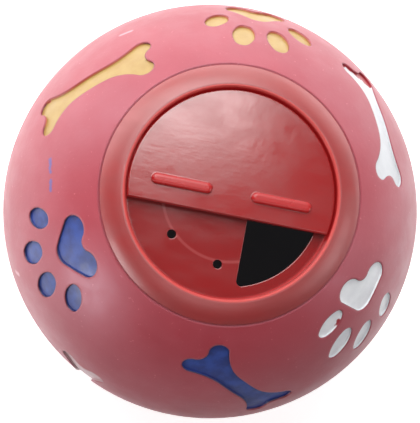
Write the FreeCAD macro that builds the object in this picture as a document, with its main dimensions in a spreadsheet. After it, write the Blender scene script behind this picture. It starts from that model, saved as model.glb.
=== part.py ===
import FreeCAD, Part
import math
import os
import Sketcher
from FreeCAD import Placement, Rotation, Vector

# A dog's treat ball. A hollow vinyl ball has a hard cup snapped into its mouth. The cup's floor has a
# half-moon opening, and a half-moon disc turns over it to let more or less food through. Paw prints and
# bones are sunk into the ball's skin.
# Millimetres. +Z runs up the axis of the mouth, and the origin is the ball's lowest point. +X lies along
# the grips of the disc at rest. Everything is drawn about the ball's centre and then raised to stand on
# the origin, so a level below is a height above the ball's centre.

SIZES = [
    ("ball_diameter", 110.0, "outside of the vinyl ball"),
    ("shell_wall", 3.0, "wall of the ball"),
    ("recess_depth", 0.7, "depth of the motifs in the skin"),
    ("flange_radius", 31.5, "outside of the cup's flange"),
    ("flange_edge", 1.8, "thickness of the flange at its outer edge"),
    ("flange_crown", 10.0, "radius of the flange's convex top"),
    ("flange_gap", 0.12, "gap around the flange in the skin"),
    ("seat_slope", 29.0, "degrees, slope of the seat under the flange"),
    ("seat_gap", 0.05, "gap under the flange"),
    ("skin_bevel", 0.3, "bevel on the skin where it meets the flange"),
    ("lip_thickness", 2.5, "ball's lip at the mouth, along the axis"),
    ("collar_radius", 33.2, "where the thick lip runs out into the wall"),
    ("rim_rise", 3.2, "rim above the flange's outer edge"),
    ("rim_land", 0.6, "width of the flat on top of the rim"),
    ("rim_bevel", 0.35, "bevel from the rim into the cup"),
    ("rim_inset", 1.8, "cup's inside at its rim, in from the neck's outside"),
    ("wall_draft", 2.0, "degrees, draft of the cup's wall"),
    ("neck_radius", 27.4, "outside of the cup below its flange"),
    ("neck_gap", 0.2, "gap between the neck and the ball's lip"),
    ("neck_wall", 2.0, "wall of the neck below the floor"),
    ("neck_length", 9.7, "rim down to the neck's lower edge"),
    ("bead_height", 1.5, "how far the retaining bead stands out"),
    ("bead_nose", 0.6, "flat on the bead's outside"),
    ("bead_gap", 0.15, "gap between the bead and the ball's lip"),
    ("neck_taper", 0.5, "how far the neck draws in below the bead"),
    ("floor_thickness", 2.0, "cup's floor"),
    ("opening_offset", 5.2, "treat opening's straight edge from the axis"),
    ("opening_border", 3.0, "treat opening's round edge, in from the neck's bore"),
    ("opening_round", 1.2, "corners of the treat opening"),
    ("click_inset", 5.2, "middle of a click hole, in from the treat opening's round edge"),
    ("click_hole", 2.2, "diameter of a click hole"),
    ("click_count", 4.0, "number of click holes"),
    ("click_angle", 45.0, "degrees, one click hole to the next"),
    ("click_first", 135.0, "degrees, the first click hole from +X"),
    ("disc_sink", 1.1, "disc's top below the rim"),
    ("disc_thickness", 2.5, "plate of the disc"),
    ("disc_lift", 0.6, "disc's plate above the cup's floor"),
    ("disc_side_gap", 0.3, "gap around the disc"),
    ("disc_bevel", 0.35, "bevel on the disc's upper edge"),
    ("disc_chord", 5.5, "disc's straight edge from the axis"),
    ("grip_inner", 4.8, "grip's inner end from the axis"),
    ("grip_length", 14.8, "length of a grip"),
    ("grip_width", 2.7, "width of a grip"),
    ("grip_height", 1.05, "height of a grip"),
    ("grip_round", 0.9, "round on a grip's top"),
    ("hub_radius", 5.0, "hub that bears on the cup's floor"),
    ("hub_gap", 0.1, "running gap under the hub"),
    ("pivot_radius", 3.0, "pivot below the hub"),
    ("pivot_gap", 0.2, "gap around the pivot"),
    ("pivot_bore", 1.7, "radius of the bore in the pivot"),
    ("barb_width", 0.9, "how far the barb stands out from the pivot"),
    ("barb_land", 0.5, "height of the barb's outside"),
    ("barb_length", 2.2, "barb's tapered end"),
    ("barb_gap", 0.2, "gap between the barb and the cup's floor"),
    ("pivot_slot", 0.9, "width of the slots that split the pivot"),
    ("nub_radius", 0.9, "click nub under the disc"),
    ("nub_gap", 0.12, "nub's tip above the cup's floor"),
    ("bone_reach", 14.4, "middle of a bone to the middle of its knobs"),
    ("bone_spread", 4.0, "knob's middle from the bone's centre line"),
    ("bone_knob", 2.5, "radius of a knob"),
    ("bone_waist", 2.6, "half of a bone's width at its middle"),
    ("bone_flare", 14.0, "radius from a bone's straight middle to a knob"),
    ("bone_notch", 3.0, "radius of the notch between two knobs"),
    ("pad_drop", 7.3, "middle of a paw's pad below the paw's middle"),
    ("pad_spread", 4.9, "pad's lobes from its centre line"),
    ("pad_lobe", 3.4, "radius of a pad's lobe"),
    ("pad_lobe_drop", 2.5, "pad's lobes below its middle"),
    ("pad_tip", 3.4, "radius of a pad's tip"),
    ("pad_tip_rise", 2.5, "pad's tip above its middle"),
    ("pad_notch", 2.4, "radius of the notch between the lobes"),
    ("inner_toe_spread", 4.4, "inner toe from the paw's centre line"),
    ("inner_toe_rise", 8.2, "inner toe above the paw's middle"),
    ("inner_toe_length", 9.7, "length of an inner toe"),
    ("inner_toe_width", 5.7, "width of an inner toe"),
    ("inner_toe_end", 2.1, "radius of an inner toe's ends"),
    ("inner_toe_angle", 7.0, "degrees, how far an inner toe leans out"),
    ("outer_toe_spread", 10.8, "outer toe from the paw's centre line"),
    ("outer_toe_rise", 1.0, "outer toe above the paw's middle"),
    ("outer_toe_length", 8.4, "length of an outer toe"),
    ("outer_toe_width", 5.2, "width of an outer toe"),
    ("outer_toe_end", 1.9, "radius of an outer toe's ends"),
    ("outer_toe_angle", 28.0, "degrees, how far an outer toe leans out"),
]

# Each motif: what it is, degrees down from the mouth's axis, degrees around it from +X, and degrees that
# it is turned, counter-clockwise from upright as seen from outside. A paw is a pad and four toes.
MOTIFS = [
    ("bone", 54.5, 38, -25),
    ("pad", 57, 89, 4),
    ("toes", 57, 89, 4),
    ("bone", 53.5, 150, -31),
    ("pad", 54, 210, 181),
    ("toes", 54, 210, 187),
    ("bone", 58.5, 285.5, -53),
    ("pad", 54.5, 331.5, 149),
    ("toes", 54.5, 331.5, 132),
    ("bone", 107, 4, 12),
    ("pad", 107, 62, 165),
    ("toes", 107, 62, 160),
    ("bone", 106, 122, 40),
    ("pad", 108, 183, 20),
    ("toes", 108, 183, 16),
    ("bone", 94, 243.5, -81),
    ("pad", 107, 305, 200),
    ("toes", 107, 305, 207),
    ("bone", 147, 34, -15),
    ("pad", 146, 153, 0),
    ("toes", 146, 153, 0),
    ("bone", 147, 272, 20),
]

doc = FreeCAD.newDocument("treat_ball")
sheet = doc.addObject("Spreadsheet::Sheet", "sizes")
for row, (alias, number, meaning) in enumerate(SIZES, start=1):
    sheet.set(f"A{row}", alias)
    sheet.set(f"B{row}", str(number))
    sheet.set(f"C{row}", meaning)
    sheet.setAlias(f"B{row}", alias)
doc.recompute()

# Levels and radii that several pieces share, as formulas over the sizes.
BALL_RADIUS = "(sizes.ball_diameter / 2)"
ROOM_RADIUS = f"({BALL_RADIUS} - sizes.shell_wall)"
RECESS_RADIUS = f"({BALL_RADIUS} - sizes.recess_depth)"
EDGE_LEVEL = f"sqrt({BALL_RADIUS}^2 - sizes.flange_radius^2)"
RIM_LEVEL = f"({EDGE_LEVEL} + sizes.rim_rise)"
SEAT_EDGE_LEVEL = f"({EDGE_LEVEL} - sizes.flange_edge)"
SEAT_TANGENT = "tan(sizes.seat_slope * 1deg)"
MOUTH_RADIUS = "(sizes.neck_radius + sizes.neck_gap)"
SKIN_EDGE_RADIUS = "(sizes.flange_radius + sizes.flange_gap)"
DISC_TOP = f"({RIM_LEVEL} - sizes.disc_sink)"
DISC_BOTTOM = f"({DISC_TOP} - sizes.disc_thickness)"
FLOOR_TOP = f"({DISC_BOTTOM} - sizes.disc_lift)"
FLOOR_BOTTOM = f"({FLOOR_TOP} - sizes.floor_thickness)"
NECK_BOTTOM = f"({RIM_LEVEL} - sizes.neck_length)"
NECK_BORE = "(sizes.neck_radius - sizes.neck_wall)"
CUP_RADIUS = "(sizes.neck_radius - sizes.rim_inset)"
OPENING_RADIUS = f"({NECK_BORE} - sizes.opening_border)"
CLICK_CIRCLE = f"({OPENING_RADIUS} - sizes.click_inset)"
DRAFT_TANGENT = "tan(sizes.wall_draft * 1deg)"
PIVOT_HOLE = "(sizes.pivot_radius + sizes.pivot_gap)"


def seat_level(radius):
    """Level of the flange's sloping underside at a radius."""
    return f"({SEAT_EDGE_LEVEL} + (sizes.flange_radius - {radius}) * {SEAT_TANGENT})"


def wall_radius(level):
    """Inside radius of the cup's drafted wall at a level."""
    return f"({CUP_RADIUS} - ({RIM_LEVEL} - {level}) * {DRAFT_TANGENT})"


LIP_TOP = f"({seat_level(MOUTH_RADIUS)} - sizes.seat_gap)"
LIP_BOTTOM = f"({LIP_TOP} - sizes.lip_thickness)"
COLLAR_LEVEL = f"sqrt({ROOM_RADIUS}^2 - sizes.collar_radius^2)"
LIP_TANGENT = f"(({LIP_BOTTOM} - {COLLAR_LEVEL}) / (sizes.collar_radius - {MOUTH_RADIUS}))"
DISC_RADIUS = f"({wall_radius(DISC_BOTTOM)} - sizes.disc_side_gap)"


def number(formula):
    """A formula's value."""
    return float(sheet.evalExpression(str(formula)))


def origin_plane(body, role):
    return next(item for item in body.Origin.OriginFeatures if item.Role == role)


def draw(sketch, corners, arcs=None):
    """Draws a closed outline. A corner is a pair of formulas. An edge is straight, or, where arcs has its
    index, an arc to the next corner: (formula of the radius, side of its centre, 1 for the left)."""
    arcs = arcs or {}
    places = [Vector(number(across), number(up), 0) for across, up in corners]
    count = len(corners)
    for index, start in enumerate(places):
        end = places[(index + 1) % count]
        if index in arcs:
            radius, side = number(arcs[index][0]), arcs[index][1]
            half = (end - start) / 2
            to_left = Vector(-half.y, half.x, 0).normalize()
            height = math.sqrt(max(radius**2 - half.Length**2, 0))
            centre = start + half + to_left * side * height
            middle = centre - to_left * side * radius
            sketch.addGeometry(Part.Arc(start, middle, end), False)
        else:
            sketch.addGeometry(Part.LineSegment(start, end), False)
    # An arc that turns clockwise is stored from its far end.
    first = [2 if arcs.get(index, (None, 1))[1] < 0 else 1 for index in range(count)]
    for index in range(count):
        before = (index - 1) % count
        last = 3 - first[before]
        sketch.addConstraint(Sketcher.Constraint("Coincident", before, last, index, first[index]))
    for index, corner in enumerate(corners):
        for kind, formula, value in zip("XY", corner, (places[index].x, places[index].y)):
            rule = Sketcher.Constraint(f"Distance{kind}", -1, 1, index, first[index], value)
            bind(sketch, rule, f"{kind.lower()}{index}", formula)
    for index, (radius, _) in arcs.items():
        rule = Sketcher.Constraint("Radius", index, number(radius))
        bind(sketch, rule, f"radius{index}", radius)


def bind(sketch, rule, name, formula):
    """Adds a constraint that takes its value from a formula."""
    sketch.renameConstraint(sketch.addConstraint(rule), name)
    sketch.setExpression(f"Constraints.{name}", formula)


def draw_circle(sketch, across, up, radius):
    """Draws a circle whose place and radius are formulas."""
    centre = Vector(number(across), number(up), 0)
    circle = sketch.addGeometry(Part.Circle(centre, Vector(0, 0, 1), number(radius)), False)
    bind(sketch, Sketcher.Constraint("DistanceX", -1, 1, circle, 3, centre.x), "across", across)
    bind(sketch, Sketcher.Constraint("DistanceY", -1, 1, circle, 3, centre.y), "up", up)
    bind(sketch, Sketcher.Constraint("Radius", circle, number(radius)), "radius", radius)


def draw_slot(sketch, start, end, radius, name):
    """Draws a round-ended slot along the sketch's horizontal axis, all sizes as formulas."""
    low, high, half = number(start), number(end), number(radius)
    up = Vector(0, half, 0)
    near, far = Vector(low, 0, 0), Vector(high, 0, 0)
    near_circle = Part.Circle(near, Vector(0, 0, 1), half)
    far_circle = Part.Circle(far, Vector(0, 0, 1), half)
    left = sketch.addGeometry(Part.ArcOfCircle(near_circle, math.pi / 2, 1.5 * math.pi))
    bottom = sketch.addGeometry(Part.LineSegment(near - up, far - up))
    right = sketch.addGeometry(Part.ArcOfCircle(far_circle, 1.5 * math.pi, 2.5 * math.pi))
    top = sketch.addGeometry(Part.LineSegment(far + up, near + up))
    for pair in ((left, 2, bottom, 1), (bottom, 2, right, 1), (right, 2, top, 1), (top, 2, left, 1)):
        sketch.addConstraint(Sketcher.Constraint("Tangent", *pair))
    sketch.addConstraint(Sketcher.Constraint("Equal", left, right))
    for arc in (left, right):
        sketch.addConstraint(Sketcher.Constraint("PointOnObject", arc, 3, -1))
    bind(sketch, Sketcher.Constraint("DistanceX", -1, 1, left, 3, low), f"{name}_start", start)
    bind(sketch, Sketcher.Constraint("DistanceX", -1, 1, right, 3, high), f"{name}_end", end)
    bind(sketch, Sketcher.Constraint("Radius", left, half), f"{name}_radius", radius)


def new_sketch(body, name, role="XY_Plane", level=None):
    """A sketch on one of the body's own planes, raised to a level where one is given."""
    sketch = body.newObject("Sketcher::SketchObject", name)
    sketch.AttachmentSupport = [(origin_plane(body, role), "")]
    sketch.MapMode = "FlatFace"
    if level is not None:
        sketch.setExpression("AttachmentOffset.Base.z", level)
    return sketch


def revolve(body, name, corners, arcs=None):
    """Turns an outline of radii and levels about the axis."""
    sketch = new_sketch(body, f"{name}_profile", "XZ_Plane")
    draw(sketch, corners, arcs)
    turned = body.newObject("PartDesign::Revolution", name)
    turned.Profile = sketch
    turned.ReferenceAxis = (sketch, ["V_Axis"])
    turned.Angle = 360
    doc.recompute()


def pad(body, name, sketch, length):
    raised = body.newObject("PartDesign::Pad", name)
    raised.Profile = sketch
    raised.setExpression("Length", length)
    doc.recompute()
    return raised


def pocket_through(body, name, sketch):
    """Cuts a sketch down through the whole body, and checks that it cuts."""
    volume = body.Shape.Volume
    cut = body.newObject("PartDesign::Pocket", name)
    cut.Profile = sketch
    cut.Type = "ThroughAll"
    doc.recompute()
    if body.Shape.Volume > volume - 0.01:
        raise RuntimeError(f"{name} cuts nothing")
    return cut


def dress_top(body, kind, name, base, level, size, measure):
    """Bevels or rounds the edges of the flat faces at a level, by the formula of its size or radius."""
    tops = [
        f"Face{index}"
        for index, face in enumerate(base.Shape.Faces, start=1)
        if isinstance(face.Surface, Part.Plane) and abs(face.CenterOfMass.z - number(level)) < 1e-4
    ]
    dressed = body.newObject(f"PartDesign::{kind}", name)
    dressed.Base = (base, tops)
    dressed.setExpression(size, measure)
    doc.recompute()


def raise_to_stand(piece):
    """Lifts a finished piece from the ball's centre to the origin at the ball's lowest point."""
    piece.setExpression("Placement.Base.z", BALL_RADIUS)


def rounded_meeting(line, circle, small):
    """A vertical line meets a circle about the origin in a round corner, right of the line and inside the
    circle. Returns where the corner leaves the line and where it leaves the circle, above the axis."""
    middle_x = f"({line} + {small})"
    middle_y = f"sqrt(({circle} - {small})^2 - {middle_x}^2)"
    grown = f"({circle} / ({circle} - {small}))"
    return (line, middle_y), (f"({middle_x} * {grown})", f"({middle_y} * {grown})")


# The ball's skin, before its motifs are sunk into it.
skin = doc.addObject("PartDesign::Body", "skin")
bevel_radius = f"({SKIN_EDGE_RADIUS} + sizes.skin_bevel)"
bevel_level = f"sqrt({BALL_RADIUS}^2 - {bevel_radius}^2)"
skin_corners = [
    ("0", f"-{BALL_RADIUS}"),
    (bevel_radius, bevel_level),
    (SKIN_EDGE_RADIUS, f"{bevel_level} - sizes.skin_bevel"),
    (SKIN_EDGE_RADIUS, f"{seat_level(SKIN_EDGE_RADIUS)} - sizes.seat_gap"),
    (MOUTH_RADIUS, LIP_TOP),
    (MOUTH_RADIUS, LIP_BOTTOM),
    ("sizes.collar_radius", COLLAR_LEVEL),
    ("0", f"-{ROOM_RADIUS}"),
]
revolve(skin, "moulding", skin_corners, {0: (BALL_RADIUS, 1), 6: (ROOM_RADIUS, -1)})


def motif_outline(name, corners, arcs):
    """A flat outline about the axis, for the prism of a motif."""
    sketch = doc.addObject("Sketcher::SketchObject", name)
    draw(sketch, corners, arcs)
    return sketch


def motif_prism(name, outline):
    """A prism of a motif's outline, long enough to pass through the skin."""
    prism = doc.addObject("Part::Extrusion", name)
    prism.Base = outline
    prism.DirMode = "Custom"
    prism.Dir = Vector(0, 0, 1)
    prism.Solid = True
    prism.setExpression("LengthFwd", f"{BALL_RADIUS} + sizes.shell_wall")
    return prism


def tangent_point(from_x, from_y, from_radius, to_x, to_y, span):
    """Where the line from one circle's middle to another's leaves the first circle."""
    share = f"({from_radius} / ({span}))"
    across = f"({from_x} + ({to_x} - {from_x}) * {share})"
    up = f"({from_y} + ({to_y} - {from_y}) * {share})"
    return across, up


def mirrored(corner, flip_x, flip_y):
    across, up = corner
    return (f"-{across}" if flip_x else across, f"-{up}" if flip_y else up)


def bone_outline():
    """Four knobs, two notches, and a straight middle that flares to the knobs."""
    reach, spread, knob = "sizes.bone_reach", "sizes.bone_spread", "sizes.bone_knob"
    waist, flare, notch = "sizes.bone_waist", "sizes.bone_flare", "sizes.bone_notch"
    flare_up = f"({waist} + {flare})"
    flare_x = f"({reach} - sqrt(({flare} + {knob})^2 - ({flare_up} - {spread})^2))"
    notch_x = f"({reach} + sqrt(({notch} + {knob})^2 - {spread}^2))"
    at_notch = tangent_point(reach, spread, knob, notch_x, "0", f"{notch} + {knob}")
    at_flare = tangent_point(reach, spread, knob, flare_x, flare_up, f"{flare} + {knob}")
    quarter = [at_notch, at_flare, (flare_x, waist)]
    corners = []
    for flip_x, flip_y in ((False, False), (True, False), (True, True), (False, True)):
        part = [mirrored(corner, flip_x, flip_y) for corner in quarter]
        corners += part if flip_x == flip_y else part[::-1]
    arcs = {}
    for first in (0, 6):
        arcs.update({first: (knob, 1), first + 1: (flare, -1), first + 3: (flare, -1)})
        arcs.update({first + 4: (knob, 1), first + 5: (notch, -1)})
    return motif_outline("bone_outline", corners, arcs)


def pad_outline():
    """A paw's pad: two lobes with a notch between them, and a round tip towards the toes."""
    spread, lobe, tip, notch = "sizes.pad_spread", "sizes.pad_lobe", "sizes.pad_tip", "sizes.pad_notch"
    lobe_up = "(-sizes.pad_drop - sizes.pad_lobe_drop)"
    tip_up = "(-sizes.pad_drop + sizes.pad_tip_rise)"
    rise = "(sizes.pad_lobe_drop + sizes.pad_tip_rise)"
    span = f"sqrt({spread}^2 + {rise}^2)"
    # The straight side touches both circles, so it leaves them square to the same direction.
    lean = f"(asin({spread} / {span}) + asin(({lobe} - {tip}) / {span}))"
    normal_x, normal_y = f"cos({lean})", f"sin({lean})"
    notch_up = f"({lobe_up} - sqrt(({notch} + {lobe})^2 - {spread}^2))"
    at_notch = tangent_point(spread, lobe_up, lobe, "0", notch_up, f"{notch} + {lobe}")
    lobe_side = (f"({spread} + {lobe} * {normal_x})", f"({lobe_up} + {lobe} * {normal_y})")
    tip_side = (f"({tip} * {normal_x})", f"({tip_up} + {tip} * {normal_y})")
    corners = [
        at_notch,
        lobe_side,
        tip_side,
        mirrored(tip_side, True, False),
        mirrored(lobe_side, True, False),
        mirrored(at_notch, True, False),
    ]
    arcs = {0: (lobe, 1), 2: (tip, 1), 4: (lobe, 1), 5: (notch, -1)}
    return motif_outline("pad_outline", corners, arcs)


def toe_outline(name, kind, side):
    """An oval toe of four arcs. Side is 1 for the right and -1 for the left."""
    length, width = f"(sizes.{kind}_toe_length / 2)", f"(sizes.{kind}_toe_width / 2)"
    end = f"sizes.{kind}_toe_end"
    along = f"({length} - {end})"
    flank = f"(({along}^2 + {width}^2 - {end}^2) / (2 * ({width} - {end})))"
    meeting = (
        f"({along} * {flank} / ({flank} - {end}))",
        f"(({flank} - {width}) * {end} / ({flank} - {end}))",
    )
    corners = [
        mirrored(meeting, False, True),
        meeting,
        mirrored(meeting, True, False),
        mirrored(meeting, True, True),
    ]
    arcs = {0: (end, 1), 1: (flank, 1), 2: (end, 1), 3: (flank, 1)}
    toe = motif_outline(name, corners, arcs)
    toe.setExpression("Placement.Base.x", f"{side} * sizes.{kind}_toe_spread")
    toe.setExpression("Placement.Base.y", f"sizes.{kind}_toe_rise")
    toe.setExpression("Placement.Rotation.Angle", f"90 - {side} * sizes.{kind}_toe_angle")
    return toe


toe_prisms = doc.addObject("Part::Compound", "toe_prisms")
toe_prisms.Links = [
    motif_prism(f"{kind}_toe_{word}_prism", toe_outline(f"{kind}_toe_{word}", kind, side))
    for kind in ("inner", "outer")
    for side, word in ((1, "right"), (-1, "left"))
]
prisms = {
    "bone": motif_prism("bone_prism", bone_outline()),
    "pad": motif_prism("pad_prism", pad_outline()),
    "toes": toe_prisms,
}

# The floors of the recesses. The sphere's poles lie on the X axis, clear of the motif on +Z.
recess_floor = doc.addObject("Part::Sphere", "recess_floor")
recess_floor.setExpression("Radius", RECESS_RADIUS)
recess_floor.Placement = Placement(Vector(), Rotation(Vector(0, 1, 0), 90))


def stamp(kind):
    """A motif's prism kept outside the recesses' floor, about the ball's centre with the motif on +Z."""
    kept = doc.addObject("Part::Cut", f"{kind}_stamp")
    kept.Base = prisms[kind]
    kept.Tool = recess_floor
    kept.Refine = False
    return kept


stamps = {kind: stamp(kind) for kind in prisms}
doc.recompute()


def placed(kind, index, down, around, turned):
    """A stamp carried to its place on the ball. Upright, its top points to the mouth."""
    copy = doc.addObject("App::Link", f"{kind}_{index}")
    copy.LinkedObject = stamps[kind]
    carried = Rotation(Vector(0, 0, 1), around) * Rotation(Vector(0, 1, 0), down)
    copy.Placement = Placement(Vector(), carried * Rotation(Vector(0, 0, 1), 90 + turned))
    return copy


recesses = doc.addObject("Part::Compound", "recesses")
recesses.Links = [
    placed(kind, index, down, around, turned) for index, (kind, down, around, turned) in enumerate(MOTIFS)
]
shell = doc.addObject("Part::Cut", "ball_shell")
shell.Base = skin
shell.Tool = recesses
raise_to_stand(shell)

# The cup: flange, rim, drafted wall, floor, and a neck with a bead that holds it under the ball's lip.
cup = doc.addObject("PartDesign::Body", "insert_cup")
rim_inner = f"({CUP_RADIUS} + sizes.rim_bevel)"
shoulder = f"({LIP_BOTTOM} - sizes.bead_gap)"
bead_radius = "(sizes.neck_radius + sizes.bead_height)"
bead_top = f"({shoulder} - sizes.bead_height * {LIP_TANGENT})"
cup_corners = [
    ("0", FLOOR_BOTTOM),
    (NECK_BORE, FLOOR_BOTTOM),
    (NECK_BORE, NECK_BOTTOM),
    ("sizes.neck_radius - sizes.neck_taper", NECK_BOTTOM),
    (bead_radius, f"{bead_top} - sizes.bead_nose"),
    (bead_radius, bead_top),
    ("sizes.neck_radius", shoulder),
    ("sizes.neck_radius", seat_level("sizes.neck_radius")),
    ("sizes.flange_radius", SEAT_EDGE_LEVEL),
    ("sizes.flange_radius", EDGE_LEVEL),
    (f"{rim_inner} + sizes.rim_land", RIM_LEVEL),
    (rim_inner, RIM_LEVEL),
    (CUP_RADIUS, f"{RIM_LEVEL} - sizes.rim_bevel"),
    (wall_radius(FLOOR_TOP), FLOOR_TOP),
    ("0", FLOOR_TOP),
]
revolve(cup, "bowl", cup_corners, {9: ("sizes.flange_crown", 1)})

# The treat opening, a segment of a circle with rounded corners, and the pivot hole.
opening = new_sketch(cup, "opening_outline", level=FLOOR_TOP)
on_line, on_circle = rounded_meeting("sizes.opening_offset", OPENING_RADIUS, "sizes.opening_round")
opening_corners = [
    on_line,
    mirrored(on_line, False, True),
    mirrored(on_circle, False, True),
    on_circle,
]
opening_arcs = {1: ("sizes.opening_round", 1), 2: (OPENING_RADIUS, 1), 3: ("sizes.opening_round", 1)}
draw(opening, opening_corners, opening_arcs)
pocket_through(cup, "opening", opening)

pivot_hole = new_sketch(cup, "pivot_hole_outline", level=FLOOR_TOP)
draw_circle(pivot_hole, "0", "0", PIVOT_HOLE)
pocket_through(cup, "pivot_hole", pivot_hole)

click = new_sketch(cup, "click_hole_outline", level=FLOOR_TOP)
click_x = f"{CLICK_CIRCLE} * cos(sizes.click_first * 1deg)"
click_y = f"{CLICK_CIRCLE} * sin(sizes.click_first * 1deg)"
draw_circle(click, click_x, click_y, "sizes.click_hole / 2")
click_hole = pocket_through(cup, "click_hole", click)
click_holes = cup.newObject("PartDesign::PolarPattern", "click_holes")
click_holes.Originals = [click_hole]
click_holes.Axis = (origin_plane(cup, "Z_Axis"), [""])
click_holes.setExpression("Angle", "sizes.click_angle * (sizes.click_count - 1)")
click_holes.setExpression("Occurrences", "sizes.click_count")
cup.Tip = click_holes
doc.recompute()
raise_to_stand(cup)

# The disc: a plate on a hub, and a split pivot whose barb holds it under the cup's floor.
disc = doc.addObject("PartDesign::Body", "selector_disc")
hub_level = f"({FLOOR_TOP} + sizes.hub_gap)"
barb_top = f"({FLOOR_BOTTOM} - sizes.barb_gap)"
barb_radius = "(sizes.pivot_radius + sizes.barb_width)"
barb_end = f"({barb_top} - sizes.barb_land - sizes.barb_length)"
disc_corners = [
    ("sizes.pivot_bore", barb_end),
    ("sizes.pivot_radius", barb_end),
    (barb_radius, f"{barb_top} - sizes.barb_land"),
    (barb_radius, barb_top),
    ("sizes.pivot_radius", barb_top),
    ("sizes.pivot_radius", hub_level),
    ("sizes.hub_radius", hub_level),
    ("sizes.hub_radius", DISC_BOTTOM),
    (DISC_RADIUS, DISC_BOTTOM),
    (DISC_RADIUS, DISC_TOP),
    ("0", DISC_TOP),
    ("0", DISC_BOTTOM),
    ("sizes.pivot_bore", DISC_BOTTOM),
]
revolve(disc, "plate", disc_corners)

straight = new_sketch(disc, "straight_edge_outline", level=DISC_TOP)
beyond = f"({DISC_RADIUS} + sizes.disc_side_gap)"
straight_corners = [
    (f"-{beyond}", f"-{beyond}"),
    (beyond, f"-{beyond}"),
    (beyond, "-sizes.disc_chord"),
    (f"-{beyond}", "-sizes.disc_chord"),
]
draw(straight, straight_corners)
half_moon = pocket_through(disc, "straight_edge", straight)
dress_top(disc, "Chamfer", "upper_edge", half_moon, DISC_TOP, "Size", "sizes.disc_bevel")

grips = new_sketch(disc, "grip_outline", level=DISC_TOP)
grip_half = "sizes.grip_width / 2"
grip_start = f"sizes.grip_inner + {grip_half}"
grip_end = f"sizes.grip_inner + sizes.grip_length - {grip_half}"
draw_slot(grips, grip_start, grip_end, grip_half, "right")
draw_slot(grips, f"-({grip_end})", f"-({grip_start})", grip_half, "left")
grip_bars = pad(disc, "grips", grips, "sizes.grip_height")
grip_top = f"({DISC_TOP} + sizes.grip_height)"
dress_top(disc, "Fillet", "grip_rounds", grip_bars, grip_top, "Radius", "sizes.grip_round")

nub = disc.newObject("PartDesign::AdditiveSphere", "click_nub")
nub.AttachmentSupport = [(origin_plane(disc, "XY_Plane"), "")]
nub.MapMode = "FlatFace"
nub.setExpression("Radius", "sizes.nub_radius")
nub.setExpression("AttachmentOffset.Base.x", f"-{CLICK_CIRCLE}")
nub.setExpression("AttachmentOffset.Base.z", f"{FLOOR_TOP} + sizes.nub_gap + sizes.nub_radius")
doc.recompute()

# Two crossing slots split the pivot into four springy legs.
for role in ("XZ_Plane", "YZ_Plane"):
    word = role[:2].lower()
    slot = new_sketch(disc, f"slot_{word}_outline", role)
    half_slot = "sizes.pivot_slot / 2"
    slot_corners = [
        (f"-{half_slot}", f"{barb_end} - sizes.barb_length"),
        (half_slot, f"{barb_end} - sizes.barb_length"),
        (half_slot, hub_level),
        (f"-{half_slot}", hub_level),
    ]
    draw(slot, slot_corners)
    cut = disc.newObject("PartDesign::Pocket", f"slot_{word}")
    cut.Profile = slot
    cut.Type = "Length"
    cut.SideType = "Symmetric"
    cut.setExpression("Length", f"4 * {barb_radius}")
    doc.recompute()
raise_to_stand(disc)

doc.recompute()
for item in doc.Objects:
    if {"Invalid", "Error"} & set(item.State):
        raise RuntimeError(f"{item.Name} did not build: {item.State}")
os.makedirs("parts", exist_ok=True)
for piece in (shell, cup, disc):
    if piece.Shape.isNull() or not piece.Shape.isValid():
        raise RuntimeError(f"{piece.Label} has no sound shape")
    print(piece.Label, len(piece.Shape.Solids), "solids", round(piece.Shape.Volume), "mm3")
    piece.Shape.exportStep(f"parts/{piece.Label}.step")
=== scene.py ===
import math

import bmesh
import bpy
from mathutils import Matrix, Vector


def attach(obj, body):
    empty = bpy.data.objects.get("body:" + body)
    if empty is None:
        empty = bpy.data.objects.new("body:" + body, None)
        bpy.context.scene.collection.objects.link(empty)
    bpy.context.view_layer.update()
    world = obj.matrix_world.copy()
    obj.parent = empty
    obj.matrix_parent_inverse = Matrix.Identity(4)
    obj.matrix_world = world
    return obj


# A dog's treat ball: a vinyl ball with painted paw prints and bones sunk into it, and a hard cup
# in its mouth with a half-moon disc that turns over the food opening. Metres, in the row frame:
# +Z up the axis of the mouth, +X along the disc's grips, the ball's lowest point at the origin.

MM = 0.001
BALL_RADIUS = 55 * MM
CENTRE = Vector((0, 0, BALL_RADIUS))

# A pair below gives where a change in a material begins and ends.

# From the ball's centre: the floors of the recesses, the part of their walls darkened as painted
# shade, the part that paint tints, how far up them each coat reaches, and the ball's inside, which
# painted shade darkens.
RECESS_RADIUS = 54.3 * MM
PAINTED_WALL_SHADE = (54.6 * MM, 54.93 * MM)
TINTED_WALL = (54.75 * MM, 54.97 * MM)
COAT_TOP = {"white": 54.75 * MM, "yellow": 54.4 * MM, "blue": 54.45 * MM}
INSIDE = (52.3 * MM, 52.6 * MM)

# The paint's thickness, and how far from its middle a recess reaches.
COAT = 0.08 * MM
MOTIF_REACH = (16 * MM, 17 * MM)

# Heights: the seam between skin and cup, the cup's floor, the disc's top, the top of the gap's wall
# and the bottom of the rim's crest.
SEAM = (97 * MM, 98 * MM)
CUP_FLOOR = 99.086 * MM
DISC_TOP = 102.186 * MM
GAP_TOP = (102.6 * MM, 103 * MM)
CREST_BOTTOM = (102.4 * MM, 102.8 * MM)

# Distances from the mouth's axis: the path of the disc's nub, the end of the dial's gloss, and the
# beginning and end of the wall in the gap round the disc and of the rim's crest.
NUB_PATH = 16.4 * MM
DIAL_EDGE = (24.6 * MM, 25.5 * MM)
GAP_BEGINS, GAP_ENDS = (24.9 * MM, 25.1 * MM), (25.8 * MM, 26 * MM)
CREST_BEGINS, CREST_ENDS = (25.45 * MM, 25.7 * MM), (26.1 * MM, 26.4 * MM)

# Up in the picture from the row frame's origin: the ball's lower edge, where the floor starts to
# glow and where it is all grey, and where its glow grows far behind the ball.
EDGE_UP = -65 * MM
GLOW_UP = -76 * MM
GREY_UP = -100 * MM
FAR_UP = (150 * MM, 300 * MM)

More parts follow.
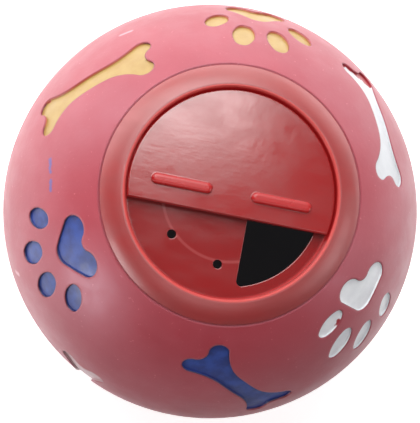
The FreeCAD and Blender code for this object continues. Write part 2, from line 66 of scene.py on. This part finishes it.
# The skin's lip round the flange: its section, as distance from the axis and height in millimetres.
LIP_SECTION = [
    (31.505, 99.5),
    (31.505, 99.86),
    (31.7, 99.8),
    (31.86, 99.74),
    (31.86, 99.66),
    (31.62, 99.45),
]
LIP_STEPS = 180

# Edges sharper than this stay sharp.
PART_SMOOTH = math.radians(25)
PAINT_SMOOTH = math.radians(30)
LIP_SMOOTH = math.radians(40)

# How the photograph looks at the ball: the photograph's width and the ball's radius in pixels, how
# far the mouth's axis leans from the line to the camera and which way, and how far the grips turn
# from level. The sensor's width is in millimetres.
PICTURE_WIDTH = 420
SILHOUETTE_RADIUS = 207
CAMERA_DISTANCE = 8 * BALL_RADIUS
TILT = math.radians(8.36)
TILT_TOWARDS = math.radians(40.4)
GRIP_TURN = math.radians(-10.5)
SENSOR_WIDTH = 36
NEAREST_SEEN = 0.01

# Each sunk motif: its paint, degrees down from the mouth's axis and degrees around it from +X.
MOTIFS = [
    ("white", 54.5, 38),
    ("yellow", 57, 89),
    ("yellow", 53.5, 150),
    ("blue", 54, 210),
    ("blue", 58.5, 285.5),
    ("white", 54.5, 331.5),
    ("yellow", 107, 4),
    ("blue", 107, 62),
    ("white", 106, 122),
    ("yellow", 108, 183),
    ("white", 94, 243.5),
    ("yellow", 107, 305),
    ("blue", 147, 34),
    ("white", 146, 153),
    ("yellow", 147, 272),
]

# Where paint is missing or thin, or where painted shade greys a whole white motif: its colour,
# degrees down and around as above, millimetres across, how much of what lies under it or of the
# painted shade shows, and what that is.
WORN_OR_SHADED = [
    ("white", 54.5, 38.0, 44.0, 0.6, "painted_shade"),
    ("white", 94.0, 243.5, 44.0, 0.6, "vinyl"),
    ("white", 60.9, 60.6, 4.6, 1.0, "vinyl"),
    ("white", 62.4, 57.4, 4.4, 1.0, "vinyl"),
    ("white", 64.0, 54.4, 5.0, 1.0, "vinyl"),
    ("white", 66.0, 51.8, 5.6, 1.0, "vinyl"),
    ("white", 68.4, 49.4, 5.6, 1.0, "vinyl"),
    ("white", 49.9, 323.4, 3.0, 1.0, "vinyl"),
    ("white", 51.6, 317.6, 1.3, 1.0, "vinyl"),
    ("yellow", 68.3, 158.6, 3.6, 1.0, "vinyl"),
    ("yellow", 71.0, 87.5, 2.6, 1.0, "vinyl"),
]

# Stray strokes of blue paint near the blue paw: where each starts and ends.
STROKES = [((53.4, 178.3), (52.4, 182.6)), ((51.8, 185.4), (51.5, 188.2))]

# Pale scuffs on the skin: where each starts and ends.
SCUFFS = [((64.3, 131.4), (63.3, 128.3)), ((80.0, 208.9), (77.5, 209.9))]

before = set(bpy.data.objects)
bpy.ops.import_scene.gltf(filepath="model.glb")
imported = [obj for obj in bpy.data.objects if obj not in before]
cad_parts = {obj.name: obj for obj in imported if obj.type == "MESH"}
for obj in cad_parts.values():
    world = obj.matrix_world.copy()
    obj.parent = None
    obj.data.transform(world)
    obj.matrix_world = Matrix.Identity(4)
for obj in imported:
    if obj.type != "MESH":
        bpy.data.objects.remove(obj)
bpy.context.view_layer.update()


def direction(down, around):
    """The direction from the ball's centre that far down from the mouth's axis and around it."""
    polar, azimuth = math.radians(down), math.radians(around)
    level = math.sin(polar)
    return Vector((level * math.cos(azimuth), level * math.sin(azimuth), math.cos(polar)))


def on_ball(down, around):
    """The point on the ball's outside in that direction."""
    return CENTRE + BALL_RADIUS * direction(down, around)


def picture_basis():
    """The matrix that brings a direction in the picture (right, up, towards the camera) to the row
    frame."""
    towards_x, towards_y = math.cos(TILT_TOWARDS), math.sin(TILT_TOWARDS)
    across = math.sin(TILT)
    axis = Vector((across * towards_x, across * towards_y, math.cos(TILT)))
    grips = Vector((math.cos(GRIP_TURN), math.sin(GRIP_TURN), 0))
    row_x = (grips - grips.dot(axis) * axis).normalized()
    return Matrix((row_x, axis.cross(row_x), axis))


PICTURE = picture_basis()
PICTURE_UP = Vector((0, 1, 0))


def from_picture(right, up, towards):
    """A place given from the ball's centre in the picture's directions."""
    return CENTRE + PICTURE @ Vector((right, up, towards))


# Materials.


class Shader:
    """A material's node tree, with short calls for the nodes used here."""

    # The mix node's sockets for colours. Those for numbers have the same names.
    MIX_FIRST, MIX_SECOND, MIX_RESULT = 6, 7, 2

    def __init__(self, name):
        self.material = bpy.data.materials.new(name)
        self.material.use_nodes = True
        self.tree = self.material.node_tree
        self.bsdf = self.tree.nodes["Principled BSDF"]
        self.place = self.add("ShaderNodeTexCoord").outputs["Object"]

    def add(self, kind, **settings):
        node = self.tree.nodes.new(kind)
        for key, value in settings.items():
            setattr(node, key, value)
        return node

    def put(self, socket, value):
        if isinstance(value, bpy.types.NodeSocket):
            self.tree.links.new(value, socket)
        else:
            socket.default_value = value

    def math(self, operation, *values):
        node = self.add("ShaderNodeMath", operation=operation)
        for socket, value in zip(node.inputs, values):
            self.put(socket, value)
        return node.outputs[0]

    def vector(self, operation, *values):
        node = self.add("ShaderNodeVectorMath", operation=operation)
        for socket, value in zip(node.inputs, values):
            self.put(socket, value)
        is_number = operation in ("LENGTH", "DISTANCE", "DOT_PRODUCT")
        return node.outputs["Value" if is_number else "Vector"]

    def noise(self, size, detail=2.0, place=None):
        """Smooth noise around 0.5 whose lumps are about that size."""
        node = self.add("ShaderNodeTexNoise")
        self.put(node.inputs["Vector"], place or self.place)
        node.inputs["Scale"].default_value = 1 / size
        node.inputs["Detail"].default_value = detail
        return node.outputs["Fac"]

    def ramp(self, value, low, high, start=0.0, end=1.0):
        """Runs from start to end as value goes from low to high."""
        node = self.add("ShaderNodeMapRange", interpolation_type="SMOOTHSTEP")
        for socket, number in zip(node.inputs, (value, low, high, start, end)):
            self.put(socket, number)
        return node.outputs["Result"]

    def mix(self, share, first, second):
        """The first colour where share is zero, the second where it is one."""
        node = self.add("ShaderNodeMix", data_type="RGBA")
        self.put(node.inputs["Factor"], share)
        self.put(node.inputs[self.MIX_FIRST], first)
        self.put(node.inputs[self.MIX_SECOND], second)
        return node.outputs[self.MIX_RESULT]

    def one_less(self, share, most):
        """One, less that much where share is one."""
        return self.math("SUBTRACT", 1.0, self.math("MULTIPLY", share, most))

    def bump(self, height, distance, normal=None):
        """A surface direction with height's relief on it, that many metres deep."""
        node = self.add("ShaderNodeBump")
        node.inputs["Distance"].default_value = distance
        self.put(node.inputs["Height"], height)
        if normal is not None:
            self.put(node.inputs["Normal"], normal)
        return node.outputs["Normal"]

    def soft_edges(self, radius):
        """A surface direction that looks as if edges were rounded."""
        node = self.add("ShaderNodeBevel", samples=6)
        node.inputs["Radius"].default_value = radius
        return node.outputs["Normal"]

    def radius(self):
        """Distance from the ball's centre."""
        return self.vector("LENGTH", self.vector("SUBTRACT", self.place, tuple(CENTRE)))

    def height(self):
        """Height above the ball's lowest point."""
        node = self.add("ShaderNodeSeparateXYZ")
        self.put(node.inputs[0], self.place)
        return node.outputs["Z"]

    def outward(self):
        """Distance from the mouth's axis."""
        return self.vector("LENGTH", self.vector("MULTIPLY", self.place, (1.0, 1.0, 0.0)))

    def from_point(self, down, around):
        """Distance from a point on the ball."""
        return self.vector("DISTANCE", self.place, tuple(on_ball(down, around)))

    def from_line(self, start, end):
        """Distance from the line between two points."""
        line = end - start
        offset = self.vector("SUBTRACT", self.place, tuple(start))
        along = self.vector("DOT_PRODUCT", offset, tuple(line))
        along = self.math("DIVIDE", along, line.length_squared)
        along = self.math("MINIMUM", self.math("MAXIMUM", along, 0.0), 1.0)
        nearest = self.add("ShaderNodeVectorMath", operation="SCALE")
        nearest.inputs[0].default_value = line
        self.put(nearest.inputs["Scale"], along)
        return self.vector("LENGTH", self.vector("SUBTRACT", offset, nearest.outputs["Vector"]))

    def finish(self, **inputs):
        for name, value in inputs.items():
            self.put(self.bsdf.inputs[name.replace("_", " ")], value)
        return self.material


def colour(red, green, blue):
    """A display colour of 0 to 255 as the linear one that shaders use."""
    parts = [part / 255 for part in (red, green, blue)]
    dark, toe, slope, offset, power = 0.04045, 12.92, 1.055, 0.055, 2.4
    linear = [part / toe if part <= dark else ((part + offset) / slope) ** power for part in parts]
    return (*linear, 1.0)


# Most of a noise's values lie between these.
NOISE_SPAN = (0.3, 0.7)

NO_LIGHT = colour(0, 0, 0)

# Each paint: its light and its dark tone.
PAINTS = {
    "white": (colour(246, 247, 250), colour(236, 237, 241)),
    "yellow": (colour(187, 154, 88), colour(181, 145, 80)),
    "blue": (colour(44, 72, 154), colour(32, 50, 120)),
}

# What paint has left on the walls of the recesses, where it shows: its colour, which for blue is
# darkened as painted shade, and a painted glow that stands in for the light the paint beside it
# throws on it.
WALLS = {
    "blue": (colour(22, 34, 66), NO_LIGHT),
    "yellow": (colour(172, 84, 46), colour(110, 48, 16)),
}

# What shows where paint is missing or thin, and the grey of painted shade.
UNDER_PAINT_OR_SHADE = {"vinyl": colour(166, 42, 54), "painted_shade": colour(196, 198, 202)}


def vinyl():
    """Soft pinkish red vinyl with a slightly uneven skin, darker on the inside of the ball as
    painted shade.
    """
    shader = Shader("vinyl_skin")
    clouds = shader.ramp(shader.noise(18 * MM, 3), 0.35, 0.65)
    skin = shader.mix(clouds, colour(166, 36, 49), colour(172, 43, 56))
    specks = shader.ramp(shader.noise(0.7 * MM, 1), 0.72, 0.8)
    skin = shader.mix(shader.math("MULTIPLY", specks, 0.35), skin, colour(232, 140, 150))
    for start, end in STROKES:
        stroke = shader.from_line(on_ball(*start), on_ball(*end))
        ragged = shader.ramp(shader.noise(1.2 * MM), *NOISE_SPAN, -0.2 * MM, 0.2 * MM)
        stroke = shader.ramp(shader.math("ADD", stroke, ragged), 0.25 * MM, 0.7 * MM, 0.75, 0.0)
        skin = shader.mix(stroke, skin, PAINTS["blue"][0])
    # The walls of the recesses, which lie below the seam, as the lip and the mouth don't. Painted
    # shade darkens them.
    below_seam = shader.ramp(shader.height(), *SEAM, 1.0, 0.0)
    painted_wall_shade = shader.ramp(shader.radius(), *PAINTED_WALL_SHADE, 0.7, 0.0)
    skin = shader.mix(shader.math("MULTIPLY", painted_wall_shade, below_seam), skin, colour(96, 16, 22))
    # Paint's tint on the walls near each motif, darkened for blue as painted shade; for yellow a
    # painted glow stands in for light that the paint throws.
    wall = shader.ramp(shader.radius(), *TINTED_WALL, 0.85, 0.0)
    wall = shader.math("MULTIPLY", wall, below_seam)
    painted_glow = NO_LIGHT
    for name, down, around in MOTIFS:
        if name in WALLS:
            on_wall = shader.ramp(shader.from_point(down, around), *MOTIF_REACH, 1.0, 0.0)
            on_wall = shader.math("MULTIPLY", on_wall, wall)
            left, painted_bounce_glow = WALLS[name]
            skin = shader.mix(on_wall, skin, left)
            painted_glow = shader.mix(on_wall, painted_glow, painted_bounce_glow)
    for start, end in SCUFFS:
        scuff = shader.from_line(on_ball(*start), on_ball(*end))
        scuff = shader.ramp(scuff, 0.1 * MM, 0.9 * MM, 0.45, 0.0)
        skin = shader.mix(scuff, skin, colour(244, 205, 214))
    # Painted shade darkens the ball's inside, and a faint grey painted glow keeps it off black.
    inside = shader.ramp(shader.radius(), *INSIDE, 1.0, 0.0)
    skin = shader.mix(inside, skin, colour(70, 12, 16))
    painted_glow = shader.mix(inside, painted_glow, colour(20, 21, 22))
    grain = shader.bump(shader.noise(1.1 * MM, 3), 0.03 * MM, shader.soft_edges(0.8 * MM))
    rough = shader.ramp(shader.noise(6 * MM, 3), *NOISE_SPAN, 0.42, 0.52)
    return shader.finish(
        Base_Color=skin,
        Roughness=rough,
        Normal=grain,
        IOR=1.6,
        Specular_IOR_Level=1.0,
        Specular_Tint=(0.9, 0.86, 1.0, 1.0),
        Sheen_Weight=0.15,
        Emission_Color=painted_glow,
        Emission_Strength=1.0,
    )


def hard_plastic(name, light, dark, rough):
    """Hard red plastic with faint swirls in its gloss and fine scratches. It is glossier in the
    dial, where rough has its first value, than on the flange, where it has its second."""
    shader = Shader(name)
    rough = shader.ramp(shader.outward(), *DIAL_EDGE, *rough)
    swirl = shader.noise(9 * MM, 4, shader.vector("MULTIPLY", shader.place, (1.0, 2.2, 1.0)))
    base = shader.mix(shader.ramp(swirl, *NOISE_SPAN), light, dark)
    drawn_out = shader.vector("MULTIPLY", shader.place, (0.12, 1.0, 1.0))
    scratches = shader.noise(0.5 * MM, 2, drawn_out)
    ripple = shader.bump(shader.noise(2.2 * MM, 2), 0.012 * MM, shader.soft_edges(0.3 * MM))
    surface = shader.bump(scratches, 0.004 * MM, ripple)
    gloss = shader.math("ADD", rough, shader.ramp(swirl, 0.25, 0.75, -0.03, 0.04))
    finish = dict(
        Base_Color=base, Roughness=gloss, Normal=surface, IOR=1.6, Specular_IOR_Level=1.0
    )
    return shader, finish


def cup_plastic():
    """The cup's plastic, darker red in the dial as painted shade. The disc's nub has worn a pale
    line on the floor. A painted dark red glow lights the wall in the narrow gap round the disc,
    standing in for light bounced there, and a painted highlight makes its crest a brighter red."""
    tones = colour(161, 37, 38), colour(155, 35, 36)
    shader, finish = hard_plastic("cup_plastic", *tones, (0.12, 0.42))
    outward, height = shader.outward(), shader.height()
    # Painted shade: the dial's floor and walls are darker red.
    painted_dial_shade = shader.ramp(outward, *DIAL_EDGE, 0.6, 0.0)
    base = shader.mix(painted_dial_shade, finish["Base_Color"], colour(136, 22, 24))

    off_path = shader.math("ABSOLUTE", shader.math("SUBTRACT", outward, NUB_PATH))
    line = shader.ramp(off_path, 0.15 * MM, 0.5 * MM, 0.4, 0.0)
    off_floor = shader.math("ABSOLUTE", shader.math("SUBTRACT", height, CUP_FLOOR))
    on_floor = shader.ramp(off_floor, 0.1 * MM, 0.2 * MM, 1.0, 0.0)
    base = shader.mix(shader.math("MULTIPLY", line, on_floor), base, colour(190, 95, 95))

    # Painted glow: the wall in the gap round the disc glows dark red, for light bounced between the
    # parts.
    begins = shader.ramp(outward, *GAP_BEGINS)
    below = shader.ramp(height, *GAP_TOP, 1.0, 0.0)
    ends = shader.ramp(outward, *GAP_ENDS, 1.0, 0.0)
    wall = shader.math("MULTIPLY", shader.math("MULTIPLY", begins, below), ends)
    finish["Emission_Color"] = shader.mix(wall, NO_LIGHT, colour(96, 8, 10))
    finish["Emission_Strength"] = 1.0

    # Painted highlight: the rim's crest is a brighter red, as if catching the light.
    begins = shader.ramp(outward, *CREST_BEGINS, 0.0, 0.8)
    ends = shader.ramp(outward, *CREST_ENDS, 1.0, 0.0)
    above = shader.ramp(height, *CREST_BOTTOM)
    crest = shader.math("MULTIPLY", shader.math("MULTIPLY", begins, ends), above)
    finish["Base_Color"] = shader.mix(crest, base, colour(216, 76, 72))
    finish["Specular_IOR_Level"] = shader.one_less(shader.math("MAXIMUM", wall, crest), 0.7)
    return shader.finish(**finish)


def disc_plastic():
    """The disc's plastic, brighter red on the grips as a painted highlight."""
    tones = colour(161, 34, 35), colour(155, 32, 33)
    shader, finish = hard_plastic("disc_plastic", *tones, (0.14, 0.2))
    raised = shader.ramp(shader.height(), DISC_TOP + 0.1 * MM, DISC_TOP + 0.6 * MM)
    rougher = shader.math("MULTIPLY", raised, 0.12)
    # Painted highlight: the grips' tops are a brighter red.
    finish["Base_Color"] = shader.mix(raised, finish["Base_Color"], colour(182, 32, 34))
    finish["Roughness"] = shader.math("ADD", finish["Roughness"], rougher)
    finish["Specular_IOR_Level"] = shader.one_less(raised, 0.5)
    return shader.finish(**finish)


def paint(name):
    """Paint sprayed thinly into the recesses, missing or thin at the listed spots, and greyed as
    painted shade over two white motifs.
    """
    shader = Shader(f"{name}_paint")
    coat = shader.mix(shader.ramp(shader.noise(3 * MM, 4), *NOISE_SPAN), *PAINTS[name])
    ragged = shader.ramp(shader.noise(1.1 * MM, 3), *NOISE_SPAN, -0.3 * MM, 0.3 * MM)
    fade = 0.2 * MM
    # The two rows as wide as a motif grey it as painted shade; the rest are bare or thin spots.
    for worn_or_shaded_paint, down, around, width, share, what in WORN_OR_SHADED:
        if worn_or_shaded_paint == name:
            away = shader.math("ADD", shader.from_point(down, around), ragged)
            edge = width / 2 * MM
            worn = shader.ramp(away, edge - fade, edge + fade, share, 0.0)
            coat = shader.mix(worn, coat, UNDER_PAINT_OR_SHADE[what])
    surface = shader.bump(shader.noise(0.8 * MM, 3), 0.03 * MM)
    rough = shader.ramp(shader.noise(4 * MM, 2), *NOISE_SPAN, 0.36, 0.5)
    return shader.finish(
        Base_Color=coat, Roughness=rough, Normal=surface, Specular_IOR_Level=0.8
    )


def floor_finish():
    """Pale matt board with a barely uneven tone. It glows under and behind the ball, most of all
    far up in the picture. Below the ball's lower edge it is a dull light grey, so that it throws
    little light on that edge."""
    shader = Shader("pale_floor")
    tone = shader.ramp(shader.noise(60 * MM, 3), *NOISE_SPAN)
    base = shader.mix(tone, colour(246, 246, 247), colour(250, 250, 250))
    up = shader.vector("DOT_PRODUCT", shader.place, tuple(PICTURE @ PICTURE_UP))
    base = shader.mix(shader.ramp(up, GREY_UP, EDGE_UP), colour(172, 172, 174), base)
    lit = shader.ramp(up, GLOW_UP, EDGE_UP)
    glow = shader.math("MULTIPLY", lit, shader.ramp(up, *FAR_UP, 0.58, 1.4))
    rough = shader.ramp(shader.noise(30 * MM, 2), *NOISE_SPAN, 0.6, 0.7)
    return shader.finish(
        Base_Color=base, Roughness=rough, Emission_Color=glow, Emission_Strength=1.0
    )


# Pieces.


def give(piece, material):
    """Puts one material on the whole of a piece."""
    piece.data.materials.clear()
    piece.data.materials.append(material)


def smooth_by_angle(piece, limit):
    """Shades a piece smooth, apart from edges sharper than the limit."""
    tree = bpy.data.node_groups.new(f"smooth_{piece.name}", "GeometryNodeTree")
    tree.interface.new_socket("Geometry", in_out="INPUT", socket_type="NodeSocketGeometry")
    tree.interface.new_socket("Geometry", in_out="OUTPUT", socket_type="NodeSocketGeometry")
    start = tree.nodes.new("NodeGroupInput")
    end = tree.nodes.new("NodeGroupOutput")
    faces = tree.nodes.new("GeometryNodeSetShadeSmooth")
    edges = tree.nodes.new("GeometryNodeSetShadeSmooth")
    edges.domain = "EDGE"
    angle = tree.nodes.new("GeometryNodeInputMeshEdgeAngle")
    shallow = tree.nodes.new("FunctionNodeCompare")
    shallow.operation = "LESS_THAN"
    shallow.inputs["B"].default_value = limit
    link = tree.links.new
    link(start.outputs[0], faces.inputs["Geometry"])
    link(faces.outputs[0], edges.inputs["Geometry"])
    link(angle.outputs["Unsigned Angle"], shallow.inputs["A"])
    link(shallow.outputs[0], edges.inputs["Shade Smooth"])
    link(edges.outputs[0], end.inputs[0])
    piece.modifiers.new("smooth", "NODES").node_group = tree


def recess_paint(name):
    """A thin coat on the floor and the lower part of the walls of each recess of one colour, from
    the ball's own faces there."""
    floor_slack = 0.02 * MM
    same_place = 0.002 * MM
    steepest_floor = 0.8
    centres = [(motif_paint, direction(down, around)) for motif_paint, down, around in MOTIFS]
    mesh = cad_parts["ball_shell"].data
    coat = bmesh.new()
    for face in mesh.polygons:
        corners = [mesh.vertices[index].co - CENTRE for index in face.vertices]
        reach = [corner.length for corner in corners]
        if abs(min(reach) - RECESS_RADIUS) > floor_slack:
            continue
        middle = sum(corners, Vector()).normalized()
        motif_paint, axis = max(centres, key=lambda motif: motif[1].dot(middle))
        if motif_paint != name:
            continue
        verts = []
        for corner, far in zip(corners, reach):
            if far > COAT_TOP[name]:
                corner = corner - axis * (far - COAT_TOP[name]) / axis.dot(corner.normalized())
            verts.append(coat.verts.new(CENTRE + corner))
        coat.faces.new(verts)
    bmesh.ops.remove_doubles(coat, verts=coat.verts, dist=same_place)
    coat.normal_update()
    # Each corner moves off the floor, and off a wall that it touches, by the coat's thickness.
    moves = {}
    for corner in coat.verts:
        outward = (corner.co - CENTRE).normalized()
        normals = [face.normal for face in corner.link_faces]
        walls = [normal for normal in normals if normal.dot(outward) < steepest_floor]
        moves[corner] = outward * COAT
        if walls:
            inward = sum(walls, Vector())
            inward -= inward.dot(outward) * outward
            moves[corner] += inward.normalized() * COAT
    for corner, move in moves.items():
        corner.co += move
    for face in coat.faces:
        face.smooth = True
    piece_mesh = bpy.data.meshes.new(f"{name}_paint")
    coat.to_mesh(piece_mesh)
    coat.free()
    piece = bpy.data.objects.new(f"{name}_paint", piece_mesh)
    bpy.context.scene.collection.objects.link(piece)
    give(piece, paint(name))
    smooth_by_angle(piece, PAINT_SMOOTH)
    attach(piece, "ball")


def seam_ring():
    """The skin's soft lip, which closes on the flange all round."""
    mesh = bpy.data.meshes.new("seam_ring")
    corners = []
    for step in range(LIP_STEPS):
        angle = 2 * math.pi * step / LIP_STEPS
        x, y = math.cos(angle), math.sin(angle)
        corners += [(r * MM * x, r * MM * y, z * MM) for r, z in LIP_SECTION]
    count = len(LIP_SECTION)
    faces = []
    for step in range(LIP_STEPS):
        here, there = step * count, (step + 1) % LIP_STEPS * count
        for index in range(count):
            after = (index + 1) % count
            faces.append((here + index, there + index, there + after, here + after))
    mesh.from_pydata(corners, [], faces)
    for face in mesh.polygons:
        face.use_smooth = True
    ring = bpy.data.objects.new("seam_ring", mesh)
    bpy.context.scene.collection.objects.link(ring)
    give(ring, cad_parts["ball_shell"].data.materials[0])
    smooth_by_angle(ring, LIP_SMOOTH)
    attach(ring, "ball")


# Stage: floor, lights, world and camera.


def lay_floor():
    """A square of floor, 4 m wide, under the ball."""
    mesh = bpy.data.meshes.new("floor")
    half = 2.0
    corners = [(-half, -half, 0), (half, -half, 0), (half, half, 0), (-half, half, 0)]
    mesh.from_pydata(corners, [], [(0, 1, 2, 3)])
    floor = bpy.data.objects.new("floor", mesh)
    bpy.context.scene.collection.objects.link(floor)
    give(floor, floor_finish())


def softbox(name, place, width, height, power):
    """An oblong light that faces the ball's centre, its width level in the picture."""
    light = bpy.data.lights.new(name, "AREA")
    light.shape = "RECTANGLE"
    light.size = width
    light.size_y = height
    light.energy = power
    lamp = bpy.data.objects.new(name, light)
    back = (place - CENTRE).normalized()
    side = (PICTURE @ PICTURE_UP).cross(back).normalized()
    turn = Matrix((side, back.cross(side), back)).transposed()
    lamp.matrix_world = Matrix.Translation(place) @ turn.to_4x4()
    bpy.context.scene.collection.objects.link(lamp)


# Each softbox: its place in the picture's directions, its width and height, and its watts.
SOFTBOXES = {
    "front": ((-0.035, 0.372, 0.71), 0.5, 0.4, 3.3),
    "front_low": ((0, -0.3, 0.72), 0.5, 0.4, 0.8),
    "upper": ((-0.15, 0.6, 0.42), 0.9, 0.3, 2.6),
    "top": ((0.1, 0.8, -0.05), 0.9, 0.34, 1.1),
    "left": ((-0.71, -0.41, 0.08), 0.4, 0.3, 3.8),
    "upper_left": ((-0.62, 0.46, 0.14), 0.5, 0.36, 1.2),
    "right": ((0.72, -0.22, 0.3), 0.5, 0.5, 1.5),
    "upper_right": ((0.6, 0.48, 0.05), 0.5, 0.36, 0.8),
}


def light_scene():
    """A sky that is dim but for its upper part in the picture, and the softboxes."""
    dim, bright = 0.1, 0.9
    starts, full = 0.5, 1.0
    world = bpy.data.worlds.new("studio")
    world.use_nodes = True
    tree = world.node_tree
    background = tree.nodes["Background"]
    background.inputs["Color"].default_value = (1, 1, 1, 1)
    way = tree.nodes.new("ShaderNodeTexCoord")
    rise = tree.nodes.new("ShaderNodeVectorMath")
    rise.operation = "DOT_PRODUCT"
    rise.inputs[1].default_value = PICTURE @ Vector((0, 1, 0.05)).normalized()
    sky = tree.nodes.new("ShaderNodeMapRange")
    sky.interpolation_type = "SMOOTHSTEP"
    for socket, number in zip(list(sky.inputs)[1:5], (starts, full, dim, bright)):
        socket.default_value = number
    tree.links.new(way.outputs["Generated"], rise.inputs[0])
    tree.links.new(rise.outputs["Value"], sky.inputs[0])
    tree.links.new(sky.outputs[0], background.inputs["Strength"])
    bpy.context.scene.world = world
    bpy.context.scene.view_settings.view_transform = "Standard"
    for name, (place, width, height, power) in SOFTBOXES.items():
        softbox(name, from_picture(*place), width, height, power)


def place_camera():
    """A camera with a lens that gives the ball its outline in the picture."""
    camera_data = bpy.data.cameras.new("camera")
    to_outline = math.sqrt(CAMERA_DISTANCE**2 - BALL_RADIUS**2)
    focal_pixels = SILHOUETTE_RADIUS * to_outline / BALL_RADIUS
    camera_data.sensor_fit = "HORIZONTAL"
    camera_data.sensor_width = SENSOR_WIDTH
    camera_data.lens = SENSOR_WIDTH * focal_pixels / PICTURE_WIDTH
    camera_data.clip_start = NEAREST_SEEN
    camera = bpy.data.objects.new("camera", camera_data)
    camera.matrix_world = Matrix.Translation(from_picture(0, 0, CAMERA_DISTANCE)) @ PICTURE.to_4x4()
    bpy.context.scene.collection.objects.link(camera)
    bpy.context.scene.camera = camera


give(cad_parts["ball_shell"], vinyl())
give(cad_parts["insert_cup"], cup_plastic())
give(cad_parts["selector_disc"], disc_plastic())
for node in ("ball_shell", "insert_cup", "selector_disc"):
    smooth_by_angle(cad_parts[node], PART_SMOOTH)
for paint_name in PAINTS:
    recess_paint(paint_name)
seam_ring()
lay_floor()
light_scene()
place_camera()
